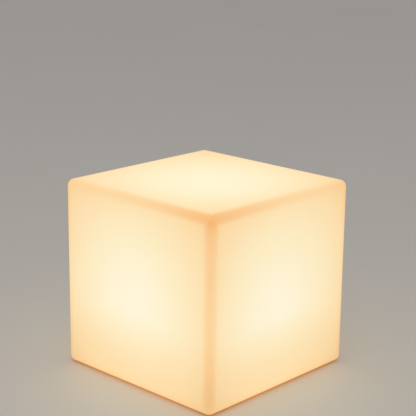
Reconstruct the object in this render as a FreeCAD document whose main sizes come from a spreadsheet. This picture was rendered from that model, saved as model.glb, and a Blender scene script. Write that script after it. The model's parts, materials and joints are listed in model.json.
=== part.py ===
"""Cube-shaped floating light: a hollow polyethylene cube lit from a sealed light module in its base.

The origin is at the middle of the underside, on the plane that the feet stand on. +Z is up and the
cube's faces look along X and Y. Lengths are millimetres. The driving dimensions are in the sheet
"Dims", and each sub-part's sizes are expressions over its cells.
"""
import FreeCAD, Part
import math
import os
import Sketcher
from FreeCAD import Placement, Rotation, Vector

DRIVING = {
    # gaps: round a moving piece, round a screw's shank, round a pressed piece, and round the cell
    "gap": 0.4, "screw_gap": 0.25, "small_screw_gap": 0.15, "slack": 0.05, "cell_gap": 0.15, "stop_gap": 0.1,
    # how far a cutting tool runs past a face, and how far a post runs into the plate under it
    "past": 1, "root": 0.5,
    # cube shell
    "side": 200, "height": 194, "edge_round": 7, "wall": 2.5,
    "foot_proud": 1, "foot_radius": 6, "foot_sink": 1, "foot_inset": 22, "foot_round": 0.6,
    # recess in the shell's underside, and the seat that the cover is screwed to
    "recess_radius": 62, "seat_level": 9, "opening_radius": 50, "bolt_circle_radius": 56,
    "boss_radius": 5.2, "boss_top": 20, "lip_round": 1.6, "cover_screw_start": 30,
    "insert_radius": 3, "insert_length": 8, "insert_end": 0.6,
    "insert_groove_radius": 2.58, "insert_groove_low": 3.4, "insert_groove_high": 4.6,
    # base cover
    "cover_radius": 61.4, "cover_face": 4, "cover_thick": 3.2, "cover_bevel": 0.8,
    "spigot_outer": 49.2, "spigot_inner": 47, "spigot_top": 13, "spigot_bevel": 0.6,
    # cover screws, M4
    "cover_screw_radius": 2, "cover_screw_length": 10, "cover_head_radius": 4, "cover_head_height": 2.4,
    "cover_sink_radius": 4.7, "cover_sink_depth": 1.2,
    # power button and its switch
    "button_x": -17, "button_y": -19, "button_radius": 7, "button_proud": 1.2, "button_travel": 1.5,
    "button_lip": 1.4, "button_crown": 0.5, "button_corner": 1, "button_corner_round": 1.2,
    "button_flange_radius": 8.4, "button_flange_thick": 0.9,
    "button_stem_radius": 2.4, "button_stem_top": 13.5,
    "symbol_outer": 3.5, "symbol_inner": 2.7, "symbol_depth": 0.8, "symbol_slot": 2, "symbol_slot_offset": 3,
    "symbol_bar_width": 0.8, "symbol_bar_length": 2.8, "symbol_bar_offset": 2.6,
    "symbol_sunk": 0.15, "symbol_clear": 0.05,
    "membrane_thick": 0.8, "membrane_radius": 9.8,
    "membrane_collar": 1.6, "membrane_collar_height": 1.2,
    "retainer_height": 1.5, "retainer_width": 3.2, "collar_radius": 12, "collar_proud": 0.2,
    "switch_side": 8.5, "switch_height": 7.5, "switch_roof": 2, "plunger_side": 3.2, "plunger_gap": 0.2,
    "plunger_bury": 2, "spring_radius": 1.1, "spring_wire": 0.2, "spring_turns": 4,
    # charging port, its socket and its flap
    "port_x": 17, "port_y": -19, "well_radius": 6.2, "well_top": 11, "port_boss_radius": 10.5,
    "port_boss_top": 12.4, "nose_radius": 3.9, "socket_radius": 2.85, "socket_depth": 10,
    "charge_pin_radius": 1.05, "charge_pin_recess": 0.6, "charge_pin_round": 0.35,
    "charge_root_radius": 1.4, "charge_root_length": 1.5, "charge_root_gap": 0.02,
    "jack_side": 9.4, "jack_shoulder": 13.4,
    "tab_length": 2, "tab_width": 2.2, "tab_thick": 0.35, "seal_width": 2.1, "seal_gap": 0.02,
    "flap_radius": 9.8, "flap_thick": 1.5, "flap_reach": 18.5, "flap_width": 12,
    "flap_lip_outer": 8.8, "flap_lip_inner": 7.6, "flap_lip_height": 1.2, "flap_lip_root": 0.2,
    "lip_groove_gap": 0.35, "pull_tab_radius": 3.6, "pull_tab_thick": 0.9, "pull_tab_reach": 0.6,
    "scoop_radius": 5, "scoop_reach": 1.5,
    "knuckle_radius": 0.75, "knuckle_gap": 0.15, "anchor_length": 6.6, "anchor_round": 0.9,
    "anchor_stem_radius": 2.2, "anchor_barb": 0.9, "anchor_barb_height": 1.15,
    # control board
    "board_level": 24, "board_thick": 1.6, "board_radius": 34, "board_edge": 4,
    "post_radius": 2.8, "post_wide_x": 29, "post_wide_y": -4, "post_near_x": 8, "post_near_y": -29.5,
    "controller_length": 10, "controller_x": -7, "driver_x": 6, "chip_row_y": -13,
    "chip_length": 5, "charger_x": 16, "charger_y": -20, "inductor_x": -19, "inductor_y": -20,
    "capacitor_x": 13.6, "capacitor_y": -10.5,
    "passive_start_x": -13, "passive_step_x": 5.2, "passive_start_y": -17.5, "passive_step_y": 1.9,
    "chip_height": 1.6, "chip_width": 4, "passive_length": 1.6, "passive_width": 0.8,
    "passive_height": 0.6, "inductor_side": 8, "inductor_base": 1, "inductor_radius": 3.7,
    "inductor_height": 4.2, "capacitor_radius": 3.2, "capacitor_height": 5.6,
    "connector_x": 24, "connector_y": -9, "connector_length": 6, "connector_width": 7.5,
    "connector_height": 4.8,
    "pipe_y": -24, "pipe_radius": 1.5, "pipe_proud": 0.25, "pipe_flange": 0.9, "pipe_flange_thick": 0.95,
    "status_length": 3.2, "status_width": 1.6, "status_height": 1.1, "status_gap": 0.3,
    # small screws, M2.5, and the screws that hold the module together, M3
    "small_screw_radius": 1.25, "small_screw_length": 6, "small_head_radius": 2.2, "small_head_height": 1.5,
    "module_screw_radius": 1.5, "module_screw_length": 16,
    "module_head_radius": 2.8, "module_head_height": 1.9,
    # every screw's shape, as shares of its shank's and its head's sizes
    "shank_tip": 0.55, "shank_tip_length": 0.6, "head_side": 0.35, "head_crown": 0.55,
    "head_crown_round": 0.8, "recess_reach": 0.52, "recess_half_width": 0.12, "recess_depth": 0.55,
    # battery
    "cell_radius": 9.2, "cell_length": 65.2, "cell_y": 18, "cell_level": 18.5, "cell_round": 0.8,
    "cell_tab_thick": 0.3, "cell_tab_width": 7, "cell_tab_height": 8,
    "saddle_x": 20, "saddle_thick": 3, "saddle_width": 19, "saddle_top": 15,
    "clamp_width": 12, "clamp_thick": 1.4, "clamp_screw_reach": 13.2, "clamp_post_height": 2,
    "pilot_floor": 0.6,
    "lead_radius": 0.75, "lead_offset": 1, "lead_reach": 5, "lead_back": 8,
    "lead_turn": 2, "lead_rise": 3,
    # light module
    "housing_radius": 45, "housing_wall": 2, "housing_bevel": 1, "deck_level": 34, "deck_thick": 2,
    "module_post_circle": 40.2, "module_screw_start": 90, "module_post_radius": 2.5, "module_pilot_depth": 12,
    "wire_hole_radius": 4.5, "led_boss_level": 28.4,
    "spreader_radius": 34.2, "spreader_thick": 2, "led_board_radius": 33, "led_board_thick": 1.6,
    "led_side": 5, "led_height": 1.6, "led_frame_height": 1.12, "led_dot_radius": 2,
    "led_screw_circle": 19.5, "led_screw_turn": 30,
    "white_led_circle": 13.5, "white_led_start": 22.5, "colour_led_circle": 26, "colour_led_start": 15,
    "receiver_length": 4, "receiver_width": 5, "receiver_height": 3.4,
    "receiver_eye_radius": 1.8, "receiver_eye_height": 4.2,
    "led_lead_radius": 0.6, "led_lead_circle": 2, "led_lead_reach": 7.2,
    "led_lead_rise": 1.4, "led_lead_drop": 0.75, "led_lead_start": 45,
    "dome_gasket_thick": 1, "dome_flange_thick": 2, "dome_inner": 35, "dome_wall": 1.7,
    "dome_flange_radius": 43.5, "dome_skirt_top": 39, "dome_height": 12, "dome_gasket_gap": 0.6,
    "clamp_ring_inner": 37.2, "clamp_ring_outer": 44.5, "clamp_ring_thick": 2,
}
INSERT_FLATS = 16
SCREWS_IN_COVER = 6
SCREWS_IN_MODULE = 3
WHITE_LEDS = 8
COLOUR_LEDS = 12
LED_LEADS = 4
PASSIVES = 10
PASSIVES_IN_ROW = 6
NEAR = 1e-6
ARC_SHARE = 0.45
TUBE_ERROR = 0.01
# the membrane's underside: the key's flange comes this far up at the end of its stroke
MEMBRANE = "(cover_face + button_lip + stop_gap + button_flange_thick + button_travel + plunger_gap)"

doc = FreeCAD.newDocument("cube_light")
sheet = doc.addObject("Spreadsheet::Sheet", "Dims")
for row, (alias, number) in enumerate(DRIVING.items(), start=1):
    sheet.set(f"A{row}", alias)
    sheet.set(f"B{row}", str(number))
    sheet.setAlias(f"B{row}", alias)
doc.recompute()
gauge = doc.addObject("App::FeaturePython", "Gauge")
gauge.addProperty("App::PropertyFloat", "Number")

nodes = {}


# ---- small helpers over the document -------------------------------------------------------------

def ex(text):
    """An expression over the sheet: bare dimension names become references to its cells."""
    out = ""
    word = ""
    for letter in str(text) + " ":
        if letter.isalnum() or letter == "_":
            word += letter
            continue
        out += f"Dims.{word}" if word in DRIVING else word
        out += letter
        word = ""
    return out.strip()


def val(text):
    """The number that an expression over the sheet has now."""
    gauge.setExpression("Number", ex(text))
    gauge.recompute()
    return gauge.Number


def bind(thing, **texts):
    """Binds properties to expressions. at_x, at_y and at_z stand for the placement's base."""
    for name, text in texts.items():
        prop = name.replace("at_", "Placement.Base.") if name.startswith("at_") else name
        thing.setExpression(prop, ex(text))
    return thing


def cylinder(name, radius, low, high, x="0", y="0"):
    """An upright cylinder between two levels."""
    made = doc.addObject("Part::Cylinder", name)
    return bind(made, Radius=radius, Height=f"({high}) - ({low})", at_x=x, at_y=y, at_z=low)


def block(name, length, width, low, high, x="0", y="0"):
    """An upright box between two levels, centred on x and y."""
    made = doc.addObject("Part::Box", name)
    return bind(made, Length=length, Width=width, Height=f"({high}) - ({low})",
                at_x=f"({x}) - ({length}) / 2", at_y=f"({y}) - ({width}) / 2", at_z=low)


def lying(name, radius, length, x, y, z):
    """A cylinder along X, centred on the point given."""
    made = doc.addObject("Part::Cylinder", name)
    bind(made, Radius=radius, Height=length)
    middle = Vector(val(x) - val(length) / 2, val(y), val(z))
    made.Placement = Placement(middle, Rotation(Vector(0, 1, 0), 90))
    return made


def fuse(name, shapes):
    made = doc.addObject("Part::MultiFuse", name)
    made.Shapes = shapes
    return made


def cut(name, base, tools):
    """base with every tool taken out of it."""
    made = doc.addObject("Part::Cut", name)
    made.Base = base
    made.Tool = tools[0] if len(tools) == 1 else fuse(name + "_tools", tools)
    return made


def fillet(name, base, radius, wanted):
    """A Part::Fillet on base's edges for which wanted(edge) is true."""
    doc.recompute()
    made = doc.addObject("Part::Fillet", name)
    made.Base = base
    edges = [n for n, edge in enumerate(base.Shape.Edges, start=1) if wanted(edge)]
    made.Edges = [(n, val(radius), val(radius)) for n in edges]
    return made


def sketch(body, plane, name, level="0"):
    """A sketch on one of the body's own origin planes, raised to a level."""
    made = body.newObject("Sketcher::SketchObject", name)
    made.AttachmentSupport = [(origin_part(body, plane), "")]
    made.MapMode = "FlatFace"
    made.setExpression("AttachmentOffset.Base.z", ex(level))
    return made


def origin_part(body, role):
    return next(part for part in body.Origin.OriginFeatures if part.Role == role)


def pin_point(drawn, geometry, point, x, y):
    """Fixes one point of a sketch's geometry at x, y, as expressions."""
    for kind, text in (("DistanceX", x), ("DistanceY", y)):
        number = drawn.addConstraint(
            Sketcher.Constraint(kind, -1, 1, geometry, point, val(text)))
        drawn.setExpression(f"Constraints[{number}]", ex(text))


def outline(drawn, corners):
    """A closed outline. A corner is (x, y), or (x, y, radius) for one reached by an arc that turns
    anticlockwise, or with a negative radius clockwise."""
    first = drawn.GeometryCount
    count = len(corners)
    for i, corner in enumerate(corners):
        start = Vector(val(corners[i - 1][0]), val(corners[i - 1][1]), 0)
        end = Vector(val(corner[0]), val(corner[1]), 0)
        if len(corner) == 2:
            drawn.addGeometry(Part.LineSegment(start, end))
            continue
        radius = val(corner[2])
        middle = (start + end) / 2
        chord = end - start
        side = Vector(-chord.y, chord.x, 0).normalize() * math.copysign(1, radius)
        centre = middle + side * math.sqrt(radius * radius - (chord.Length / 2) ** 2)
        angles = [math.atan2(p.y - centre.y, p.x - centre.x) for p in (start, end)]
        if radius < 0:
            angles.reverse()
        circle = Part.Circle(centre, Vector(0, 0, 1), abs(radius))
        drawn.addGeometry(Part.ArcOfCircle(circle, *angles))
        number = drawn.addConstraint(Sketcher.Constraint("Radius", first + i, abs(radius)))
        drawn.setExpression(f"Constraints[{number}]", ex(f"abs({corner[2]})"))
    for i, corner in enumerate(corners):
        ends = (1, 2) if len(corner) == 2 or val(corner[2]) > 0 else (2, 1)
        follower = corners[(i + 1) % count]
        follower_start = 1 if len(follower) == 2 or val(follower[2]) > 0 else 2
        drawn.addConstraint(Sketcher.Constraint(
            "Coincident", first + i, ends[1], first + (i + 1) % count, follower_start))
        pin_point(drawn, first + i, ends[1], corner[0], corner[1])


def circles(drawn, radius, places):
    """Circles of one radius, at places given as expression pairs."""
    for x, y in places:
        number = drawn.addGeometry(
            Part.Circle(Vector(val(x), val(y), 0), Vector(0, 0, 1), val(radius)))
        constraint = drawn.addConstraint(Sketcher.Constraint("Radius", number, val(radius)))
        drawn.setExpression(f"Constraints[{constraint}]", ex(radius))
        pin_point(drawn, number, 3, x, y)


def turned(name, corners):
    """A body turned about the Z axis from an outline in the XZ plane."""
    body = doc.addObject("PartDesign::Body", name)
    profile = sketch(body, "XZ_Plane", name + "_profile")
    outline(profile, corners)
    turn = body.newObject("PartDesign::Revolution", name + "_turn")
    turn.Profile = profile
    turn.ReferenceAxis = (profile, ["V_Axis"])
    turn.Angle = 360
    doc.recompute()
    return body


def extruded(name, low, high, corners=None, rounds=()):
    """A body padded upright between two levels, from an outline and circles in one sketch."""
    body = doc.addObject("PartDesign::Body", name)
    profile = sketch(body, "XY_Plane", name + "_profile", low)
    if corners:
        outline(profile, corners)
    for radius, places in rounds:
        circles(profile, radius, places)
    pad = body.newObject("PartDesign::Pad", name + "_pad")
    pad.Profile = profile
    pad.setExpression("Length", ex(f"({high}) - ({low})"))
    doc.recompute()
    return body


def pocket(body, name, level, depth, upward, corners=None, rounds=()):
    """Cuts a sketch at a level out of the body, to a depth. upward says which way it cuts."""
    before = body.Shape.Volume
    profile = sketch(body, "XY_Plane", name + "_profile", level)
    if corners:
        outline(profile, corners)
    for radius, places in rounds:
        circles(profile, radius, places)
    made = body.newObject("PartDesign::Pocket", name)
    made.Profile = profile
    made.setExpression("Length", ex(depth))
    made.Reversed = upward
    doc.recompute()
    if body.Shape.Volume >= before - NEAR:
        raise RuntimeError(f"{name} cuts nothing out of {body.Name}")
    return made


def repeat_around(body, feature, count):
    """Repeats a feature of the body around Z."""
    pattern = body.newObject("PartDesign::PolarPattern", feature.Name + "_pattern")
    pattern.Originals = [feature]
    pattern.Axis = (origin_part(body, "Z_Axis"), [""])
    pattern.Angle = 360
    pattern.Occurrences = count
    body.Tip = pattern
    doc.recompute()
    return pattern


def on_circle(radius, count, start="0"):
    """Places spaced evenly on a circle about the origin, as expression pairs."""
    turns = [f"({start} + {360 / count * i})" for i in range(count)]
    return [(f"{radius} * cos{turn}", f"{radius} * sin{turn}") for turn in turns]


def around(radius, count, start="0"):
    """The places of on_circle as numbers."""
    return [(val(x), val(y)) for x, y in on_circle(radius, count, start)]


def group(label, template, places):
    """One node of separate solids: copies of template, one at each placement."""
    links = []
    for i, place in enumerate(places):
        link = doc.addObject("App::Link", f"{label}_{i + 1}")
        link.LinkedObject = template
        link.Placement = place
        links.append(link)
    made = doc.addObject("Part::Compound", label + "_group")
    made.Links = links
    return node(label, made)


def node(label, made):
    """Names a finished sub-part."""
    made.Label = label
    nodes[label] = made
    return made


def at(x, y, z, turn=0.0):
    return Placement(Vector(x, y, z), Rotation(Vector(0, 0, 1), turn))


def upside_down(x, y, z):
    return Placement(Vector(x, y, z), Rotation(Vector(1, 0, 0), 180))


def screw(name, kind):
    """A pan-head screw with a cross recess. Its head stands on the plane z = 0 and its shank hangs."""
    shank, length = f"{kind}_screw_radius", f"{kind}_screw_length"
    head, tall = f"{kind}_head_radius", f"{kind}_head_height"
    body = turned(name, [
        ("0", tall), ("0", f"-({length})"), (f"{shank} * shank_tip", f"-({length})"),
        (shank, f"-({length}) + {shank} * shank_tip_length"), (shank, "0"), (head, "0"),
        (head, f"{tall} * head_side"), (f"{head} * head_crown", tall, f"{head} * head_crown_round"),
    ])
    arm, half = f"{head} * recess_reach", f"{head} * recess_half_width"
    pocket(body, name + "_recess", tall, f"{tall} * recess_depth", False, [
        (arm, f"-({half})"), (arm, half), (half, half), (half, arm), (f"-({half})", arm),
        (f"-({half})", half), (f"-({arm})", half), (f"-({arm})", f"-({half})"),
        (f"-({half})", f"-({half})"), (f"-({half})", f"-({arm})"), (half, f"-({arm})"),
        (half, f"-({half})"),
    ])
    return body


def tube_along(points, radius):
    """The solid of a round wire through points. Each corner is turned by an arc as large as the runs
    on its two sides allow."""
    edges = []
    start = points[0]
    for before, corner, after in zip(points, points[1:], points[2:]):
        shorter = min((before - corner).Length, (after - corner).Length)
        inward = (before - corner).normalize()
        onward = (after - corner).normalize()
        half = inward.getAngle(onward) / 2
        reach = ARC_SHARE * shorter
        bend = reach * math.tan(half)
        last = corner + onward * reach
        toward = (inward + onward).normalize()
        centre = corner + toward * (bend / math.sin(half))
        edges.append(Part.LineSegment(start, corner + inward * reach).toShape())
        edges.append(Part.Arc(corner + inward * reach, centre - toward * bend, last).toShape())
        start = last
    edges.append(Part.LineSegment(start, points[-1]).toShape())
    path = Part.Wire(edges)
    circle = Part.Circle(points[0], points[1] - points[0], radius).toShape()
    made = path.makePipeShell([Part.Wire(circle)], True, True)
    expected = math.pi * radius ** 2 * path.Length
    if abs(made.Volume / expected - 1) > TUBE_ERROR:
        raise RuntimeError(f"a wire's volume is {made.Volume:.2f}, not {expected:.2f}")
    return made


# ---- the cube ------------------------------------------------------------------------------------

def shell():
    """The rotationally moulded cube, one piece, with a stepped round recess in its underside."""
    outer = fillet(
        "cube_outer",
        block("cube_block", "side", "side", "foot_proud", "height"),
        "edge_round", lambda edge: True)
    cavity = fillet(
        "cavity_rounded",
        block("cavity_block", "side - 2 * wall", "side - 2 * wall",
              "foot_proud + wall", "height - wall"),
        "edge_round - wall", lambda edge: True)
    pan = cylinder("pan_wall", "recess_radius + wall", "0", "seat_level + wall")
    bolts = on_circle("bolt_circle_radius", SCREWS_IN_COVER, "cover_screw_start")
    bosses = [
        cylinder(f"insert_boss_{i + 1}", "boss_radius", "seat_level", "boss_top", x, y)
        for i, (x, y) in enumerate(bolts)
    ]
    hollow = cut("cavity", cavity, [pan, *bosses])
    recess = cylinder("recess", "recess_radius", "0", "seat_level")
    opening = cylinder("opening", "opening_radius", "0", "seat_level + 2 * wall")
    pockets = [
        cylinder(f"insert_pocket_{i + 1}", "insert_radius + slack", "seat_level - past",
                 "seat_level + insert_length + slack", x, y)
        for i, (x, y) in enumerate(bolts)
    ]
    dimples = [
        cylinder(f"foot_dimple_{i + 1}", "foot_radius + slack", "0",
                 "foot_proud + foot_sink", f"{x} * (side / 2 - foot_inset)",
                 f"{y} * (side / 2 - foot_inset)")
        for i, (x, y) in enumerate(((1, 1), (-1, 1), (-1, -1), (1, -1)))
    ]
    moulded = cut("moulded", outer, [hollow, recess, opening, *pockets, *dimples])

    def recess_mouth(edge):
        low = abs(edge.BoundBox.ZMax - val("foot_proud")) < NEAR
        wide = abs(edge.BoundBox.XLength - 2 * val("recess_radius")) < NEAR
        return low and wide

    return node("diffuser_shell", fillet("diffuser_shell", moulded, "lip_round", recess_mouth))


def inserts():
    """Brass M4 inserts with a knurl of flats and a holding groove, moulded into the shell's bosses."""
    knurl = doc.addObject("Part::Prism", "insert_knurl")
    knurl.Polygon = INSERT_FLATS
    bind(knurl, Circumradius="insert_radius", Height="insert_length")
    ring = cylinder("groove_outside", "insert_radius * 2", "insert_groove_low", "insert_groove_high")
    groove = cut("insert_groove", ring, [
        cylinder("groove_inside", "insert_groove_radius", "0", "insert_length")])
    bore = cylinder("insert_bore", "cover_screw_radius + slack", "-past", "insert_length - insert_end")
    template = cut("insert_template", knurl, [groove, bore])
    places = [at(x, y, val("seat_level"))
              for x, y in around("bolt_circle_radius", SCREWS_IN_COVER, "cover_screw_start")]
    group("threaded_inserts", template, places)


def feet():
    """Silicone pads stuck in the dimples of the shell's corners."""
    template = turned("foot_template", [
        ("0", "0"), ("foot_radius - foot_round", "0"), ("foot_radius", "foot_round", "foot_round"),
        ("foot_radius", "foot_proud + foot_sink"), ("0", "foot_proud + foot_sink"),
    ])
    reach = val("side / 2 - foot_inset")
    group("anti_slip_feet", template, [at(x * reach, y * reach, 0) for x in (-1, 1) for y in (-1, 1)])


# ---- base cover and its seal ---------------------------------------------------------------------

def gasket():
    """The flat silicone ring between the cover and the shell's seat."""
    body = extruded("base_gasket", "cover_face + cover_thick", "seat_level", rounds=[
        ("cover_radius - gap", [("0", "0")]), ("opening_radius + gap", [("0", "0")])])
    hole = pocket(body, "gasket_hole", "seat_level", "seat_level - cover_face", False, rounds=[
        ("cover_screw_radius + screw_gap", on_circle("bolt_circle_radius", 1, "cover_screw_start"))])
    repeat_around(body, hole, SCREWS_IN_COVER)
    node("base_gasket", body)


def board_post_places():
    """Where the four posts under the control board stand."""
    return [("post_wide_x", "post_wide_y"), ("-post_wide_x", "post_wide_y"),
            ("post_near_x", "post_near_y"), ("-post_near_x", "post_near_y")]


def cover():
    """The round cover: a flange, a spigot that centres it, and the posts and collars on its inside."""
    inside = "cover_face + cover_thick"
    plate = turned("cover_plate", [
        ("0", "cover_face"), ("cover_radius - cover_bevel", "cover_face"),
        ("cover_radius", "cover_face + cover_bevel"), ("cover_radius", inside), ("spigot_outer", inside),
        ("spigot_outer", "spigot_top - spigot_bevel"), ("spigot_outer - spigot_bevel", "spigot_top"),
        ("spigot_inner", "spigot_top"), ("spigot_inner", inside), ("0", inside),
    ])
    start = f"{inside} - root"
    raised = [
        cylinder("button_collar", "collar_radius", start,
                 f"{MEMBRANE} + membrane_thick + retainer_height + collar_proud", "button_x", "button_y"),
        cylinder("port_boss", "port_boss_radius", start, "port_boss_top", "port_x", "port_y"),
    ]
    board_posts = board_post_places()
    for i, (x, y) in enumerate(board_posts):
        raised.append(cylinder(f"board_post_{i + 1}", "post_radius", start, "board_level", x, y))
    module_posts = on_circle("module_post_circle", SCREWS_IN_MODULE, "module_screw_start")
    for i, (x, y) in enumerate(module_posts):
        raised.append(cylinder(f"module_post_{i + 1}", "module_post_radius", start,
                               "deck_level - deck_thick", x, y))
    clamp_posts = [("0", "cell_y - clamp_screw_reach"), ("0", "cell_y + clamp_screw_reach")]
    for i, (x, y) in enumerate(clamp_posts):
        raised.append(cylinder(f"clamp_post_{i + 1}", "post_radius", start,
                               f"{inside} + clamp_post_height", x, y))
    for i, x in enumerate(("-saddle_x", "saddle_x")):
        rib = block(f"saddle_block_{i + 1}", "saddle_thick", "saddle_width", start, "saddle_top",
                    x, "cell_y")
        bed = lying(f"saddle_bed_{i + 1}", "cell_radius + cell_gap", "saddle_thick + 2 * past",
                    x, "cell_y", "cell_level")
        raised.append(cut(f"saddle_{i + 1}", rib, [bed]))
    solid = fuse("cover_solid", [plate, *raised])

    low = "cover_face - past"
    holes = []
    for i, (x, y) in enumerate(on_circle("bolt_circle_radius", SCREWS_IN_COVER, "cover_screw_start")):
        holes += [
            cylinder(f"screw_hole_{i + 1}", "cover_screw_radius + screw_gap", low, "seat_level", x, y),
            cylinder(f"screw_sink_{i + 1}", "cover_sink_radius", low,
                     "cover_face + cover_sink_depth", x, y)]
    button = ("button_x", "button_y")
    holes += [
        cylinder("button_hole", "button_radius + gap", low, MEMBRANE, *button),
        cylinder("button_flange_room", "button_flange_radius + gap", "cover_face + button_lip",
                 MEMBRANE, *button),
        cylinder("membrane_seat", "membrane_radius + stop_gap", MEMBRANE, "board_level", *button),
    ]
    port = ("port_x", "port_y")
    floor = "cover_face + flap_thick + stop_gap"
    strap = "flap_reach + knuckle_radius + anchor_length + gap"
    groove = cut(
        "lip_groove",
        cylinder("groove_wide", "flap_lip_outer + lip_groove_gap", low,
                 f"{floor} + flap_lip_height + stop_gap", *port),
        [cylinder("groove_core", "flap_lip_inner - lip_groove_gap", "0", "board_level", *port)])
    holes += [
        cylinder("flap_room", "flap_radius + gap", low, floor, *port),
        block("strap_room", "flap_width + 2 * gap", strap, low, floor, "port_x",
              f"port_y + ({strap}) / 2"),
        cylinder("finger_scoop", "scoop_radius", low, floor, "port_x",
                 "port_y - flap_radius - scoop_reach"),
        groove,
        cylinder("port_well", "well_radius", low, "well_top", *port),
        cylinder("nose_hole", "nose_radius + stop_gap", low, "board_level", *port),
        cylinder("anchor_hole", "anchor_stem_radius + slack", low, "seat_level", "port_x",
                 "port_y + flap_reach + knuckle_radius + anchor_length / 2"),
        cylinder("pipe_hole", "pipe_radius + slack", low, "seat_level", "0", "pipe_y"),
    ]
    for i, (x, y) in enumerate(board_posts):
        holes.append(cylinder(f"board_pilot_{i + 1}", "small_screw_radius + slack",
                              "board_level - small_screw_length", "board_level + past", x, y))
    for i, (x, y) in enumerate(module_posts):
        holes.append(cylinder(f"module_pilot_{i + 1}", "module_screw_radius + slack",
                              "deck_level - deck_thick - module_pilot_depth", "deck_level", x, y))
    for i, (x, y) in enumerate(clamp_posts):
        holes.append(cylinder(f"clamp_pilot_{i + 1}", "small_screw_radius + slack",
                              "cover_face + pilot_floor", "board_level", x, y))
    node("base_cover", cut("base_cover", solid, holes))


def cover_screws():
    template = screw("cover_screw_template", "cover")
    level = val("cover_face + cover_sink_depth")
    places = [upside_down(x, y, level)
              for x, y in around("bolt_circle_radius", SCREWS_IN_COVER, "cover_screw_start")]
    group("cover_screws", template, places)


# ---- power button and switch ---------------------------------------------------------------------

def power_button():
    """The key: a domed cap held by its flange, with a stem that pushes the switch."""
    face = "cover_face - button_proud"
    flange = "cover_face + button_lip + stop_gap"
    crown = "(button_radius - button_corner)"
    rise = "button_crown"
    shoulder = "cover_face - button_proud + button_crown + button_corner"
    body = turned("button_cap", [
        ("0", face), (crown, f"{face} + {rise}", f"({crown} ^ 2 + {rise} ^ 2) / (2 * {rise})"),
        ("button_radius", shoulder, "button_corner_round"), ("button_radius", flange),
        ("button_flange_radius", flange), ("button_flange_radius", f"{flange} + button_flange_thick"),
        ("button_stem_radius", f"{flange} + button_flange_thick"), ("button_stem_radius", "button_stem_top"),
        ("0", "button_stem_top"),
    ])
    body.Placement = at(val("button_x"), val("button_y"), 0)
    deep, centre = f"{face} + symbol_depth", ("button_x", "button_y")
    bar_place = ("button_x", "button_y - symbol_bar_offset")
    ring = cut("symbol_ring", cylinder("symbol_disc", "symbol_outer", "0", deep, *centre), [
        cylinder("symbol_core", "symbol_inner", "-past", "button_stem_top", *centre),
        block("symbol_opening", "symbol_slot", "symbol_outer", "-past", "button_stem_top",
              "button_x", "button_y - symbol_slot_offset")])
    bar = block("symbol_bar", "symbol_bar_width", "symbol_bar_length", "0", deep, *bar_place)
    mark = fuse("symbol_shape", [ring, bar])
    node("power_button", cut("power_button", body, [mark]))
    inlay = doc.addObject("Part::MultiCommon", "power_symbol")
    inlay.Shapes = [mark, cylinder("symbol_level", "button_radius", f"{face} + symbol_sunk",
                                   f"{deep} - symbol_clear",
                                   "button_x", "button_y")]
    node("power_symbol", inlay)


def button_seal():
    """The silicone membrane behind the key, and the ring that holds its rim in the collar."""
    top = f"{MEMBRANE} + membrane_thick"
    hole, sleeve = "button_stem_radius + screw_gap", "button_stem_radius + membrane_collar"
    membrane = turned("membrane_disc", [
        (hole, MEMBRANE), ("membrane_radius", MEMBRANE), ("membrane_radius", top),
        (sleeve, top), (sleeve, f"{top} + membrane_collar_height"),
        (hole, f"{top} + membrane_collar_height"),
    ])
    membrane.Placement = at(val("button_x"), val("button_y"), 0)
    node("button_membrane", membrane)
    ring = extruded("retainer_ring", top, f"{top} + retainer_height", rounds=[
        ("membrane_radius", [("0", "0")]), ("membrane_radius - retainer_width", [("0", "0")])])
    ring.Placement = at(val("button_x"), val("button_y"), 0)
    node("button_retainer", ring)


def switch():
    """The push switch under the control board: body, plunger and return spring."""
    centre = ("button_x", "button_y")
    low = "board_level - switch_height"
    roof, buried = "board_level - switch_roof", f"{low} + plunger_bury"
    room = "plunger_side + 2 * plunger_gap"
    case = block("switch_block", "switch_side", "switch_side", low, "board_level", *centre)
    node("switch_body", cut("switch_body", case, [
        block("plunger_room", room, room, f"{low} - past", roof, *centre)]))
    tip = "button_stem_top + stop_gap"
    node("switch_plunger", block("switch_plunger", "plunger_side", "plunger_side", tip, buried, *centre))
    coil_radius, wire, turns = val("spring_radius"), val("spring_wire"), val("spring_turns")
    start = val(f"{buried} + spring_wire + slack")
    height = val(f"{roof} - spring_wire - slack") - start
    helix = Part.makeHelix(height / turns, height, coil_radius)
    ring = Part.Wire(Part.Circle(Vector(coil_radius, 0, 0), Vector(0, 1, 0), wire).toShape())
    spring = doc.addObject("Part::Feature", "switch_spring")
    spring.Shape = Part.Wire(helix).makePipeShell([ring], True, True)
    spring.Placement = at(val("button_x"), val("button_y"), start)
    node("switch_spring", spring)


# ---- charging port -------------------------------------------------------------------------------

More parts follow.
